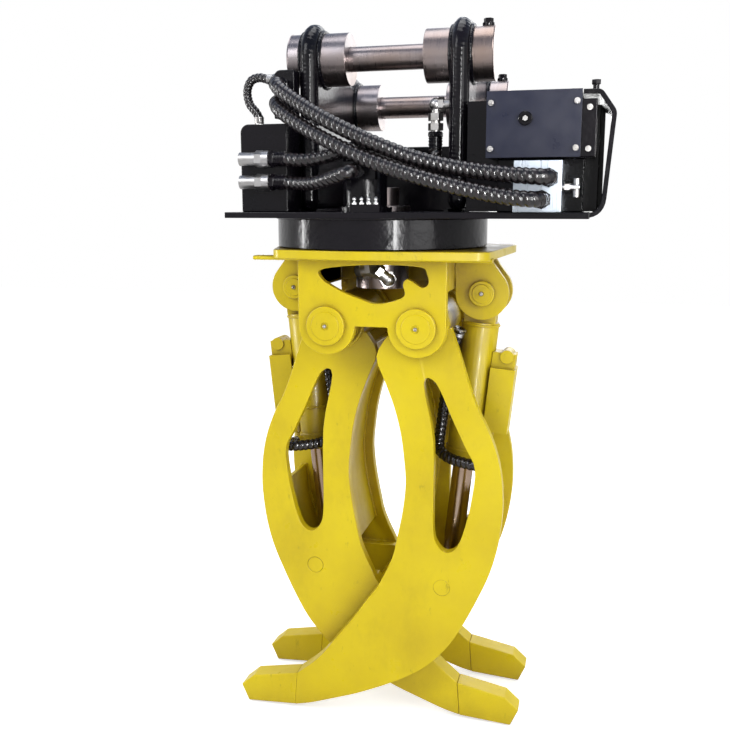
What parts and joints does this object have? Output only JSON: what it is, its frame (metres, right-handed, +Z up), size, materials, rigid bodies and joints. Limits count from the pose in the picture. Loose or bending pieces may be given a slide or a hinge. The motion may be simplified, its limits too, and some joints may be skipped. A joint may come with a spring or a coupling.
{
  "type": "excavator grapple",
  "caption": "Rotating hydraulic excavator grapple: pin-on bracket with ears and slew drum, and a turret with crossing clawed jaws worked by cylinders.",
  "frame": {"origin": "centre of the front mounting pin between the ears", "axes": "+X along the mounting pins to the motor side, +Y away from the front, +Z up towards the excavator's arm"},
  "size_m": [1.087, 0.8652, 2.102],
  "materials": {
    "turned_steel": "turned bare steel",
    "rod_chrome": "ground chrome",
    "black_paint": "gloss black enamel",
    "zinc_plate": "zinc plate",
    "bare_aluminium": "milled",
    "hose_wrap": "wrapped rubber",
    "yellow_paint": "semi-gloss enamel"
  },
  "bodies": {
    "bracket": {"base_plate": "black_paint", "ear_left": "black_paint", "ear_right": "black_paint", "boss_front_left": "turned_steel", "boss_front_right": "turned_steel", "boss_rear_left": "turned_steel", "boss_rear_right": "turned_steel", "cross_plate": "black_paint", "drum": "black_paint", "left_housing": "black_paint", "left_unions": "zinc_plate", "bulkhead": "black_paint", "loop_hose": "hose_wrap", "hose_motor": "hose_wrap", "motor_housing": "black_paint", "housing_cover": "black_paint", "side_guard": "black_paint", "valve_block": "bare_aluminium", "valve_tee": "zinc_plate", "slew_motor": "black_paint", "elbow_stack": "zinc_plate", "hose_upper": "hose_wrap", "hose_lower": "hose_wrap", "hose_left": "hose_wrap", "grease_block": "zinc_plate", "pin_bolts": "black_paint", "swivel_stator": "turned_steel"},
    "front_mount_pin": {"front_pin": "turned_steel"},
    "rear_mount_pin": {"rear_pin": "turned_steel"},
    "drive_pinion": {"pinion_gear": "turned_steel"},
    "turret": {"flange": "yellow_paint", "hub_gear": "turned_steel", "rollers": "turned_steel", "front_plate": "yellow_paint", "rear_plate": "yellow_paint", "core_box": "yellow_paint", "clevis_left": "yellow_paint", "clevis_right": "yellow_paint", "swivel_rotor": "turned_steel", "swivel_unions": "zinc_plate", "hinge_shaft_left": "yellow_paint", "hinge_shaft_right": "yellow_paint", "cyl_pin_left": "yellow_paint", "cyl_pin_right": "yellow_paint"},
    "left_jaw": {"jaw_left": "yellow_paint", "tooth_left_front": "yellow_paint", "tooth_left_rear": "yellow_paint", "rod_pin_left": "rod_chrome"},
    "right_jaw": {"jaw_right": "yellow_paint", "tooth_right_front": "yellow_paint", "tooth_right_rear": "yellow_paint", "rod_pin_right": "rod_chrome"},
    "left_cylinder": {"barrel_left": "yellow_paint", "guard_left": "yellow_paint", "hose_barrel_left": "hose_wrap"},
    "right_cylinder": {"barrel_right": "yellow_paint", "guard_right": "yellow_paint", "hose_barrel_right": "hose_wrap"},
    "left_piston_rod": {"rod_left": "rod_chrome"},
    "right_piston_rod": {"rod_right": "rod_chrome"}
  },
  "joints": [
    {"name": "front_pin_pull", "type": "slide", "parent": "bracket", "child": "front_mount_pin", "axis": [1, 0, 0], "range_m": [0, 0.43]},
    {"name": "rear_pin_pull", "type": "slide", "parent": "bracket", "child": "rear_mount_pin", "axis": [1, 0, 0], "range_m": [0, 0.43]},
    {"name": "slew", "type": "hinge", "parent": "bracket", "child": "turret", "pos_m": [-0.025, 0.03, -0.55], "axis": [0, 0, 1], "continuous": true},
    {"name": "pinion_spin", "type": "hinge", "parent": "bracket", "child": "drive_pinion", "pos_m": [-0.025, -0.1783, -0.48], "axis": [0, 0, 1], "continuous": true},
    {"name": "right_jaw_open", "type": "hinge", "parent": "turret", "child": "right_jaw", "pos_m": [0.132, -0.015, -0.762], "axis": [0, -1, 0], "range_deg": [0, 40]},
    {"name": "left_jaw_open", "type": "hinge", "parent": "turret", "child": "left_jaw", "pos_m": [-0.132, 0.055, -0.762], "axis": [0, 1, 0], "range_deg": [0, 40]},
    {"name": "right_cylinder_tilt", "type": "hinge", "parent": "turret", "child": "right_cylinder", "pos_m": [0.296, -0.015, -0.672], "axis": [0, -1, 0], "range_deg": [0, 37.26]},
    {"name": "left_cylinder_tilt", "type": "hinge", "parent": "turret", "child": "left_cylinder", "pos_m": [-0.296, 0.055, -0.672], "axis": [0, 1, 0], "range_deg": [0, 37.26]},
    {"name": "right_rod_stroke", "type": "slide", "parent": "right_cylinder", "child": "right_piston_rod", "axis": [-0.1006, 0, -0.9949], "range_m": [-0.122, 0]},
    {"name": "left_rod_stroke", "type": "slide", "parent": "left_cylinder", "child": "left_piston_rod", "axis": [0.1006, 0, -0.9949], "range_m": [-0.122, 0]}
  ],
  "couplings": [
    {"joint": "pinion_spin", "follows": "slew", "ratio": -3.3333},
    {"joint": "right_cylinder_tilt", "follows": "right_jaw_open", "ratio": 0.92662},
    {"joint": "right_rod_stroke", "follows": "right_jaw_open", "m_per_rad": -0.17363},
    {"joint": "left_cylinder_tilt", "follows": "left_jaw_open", "ratio": 0.92662},
    {"joint": "left_rod_stroke", "follows": "left_jaw_open", "m_per_rad": -0.17363}
  ]
}
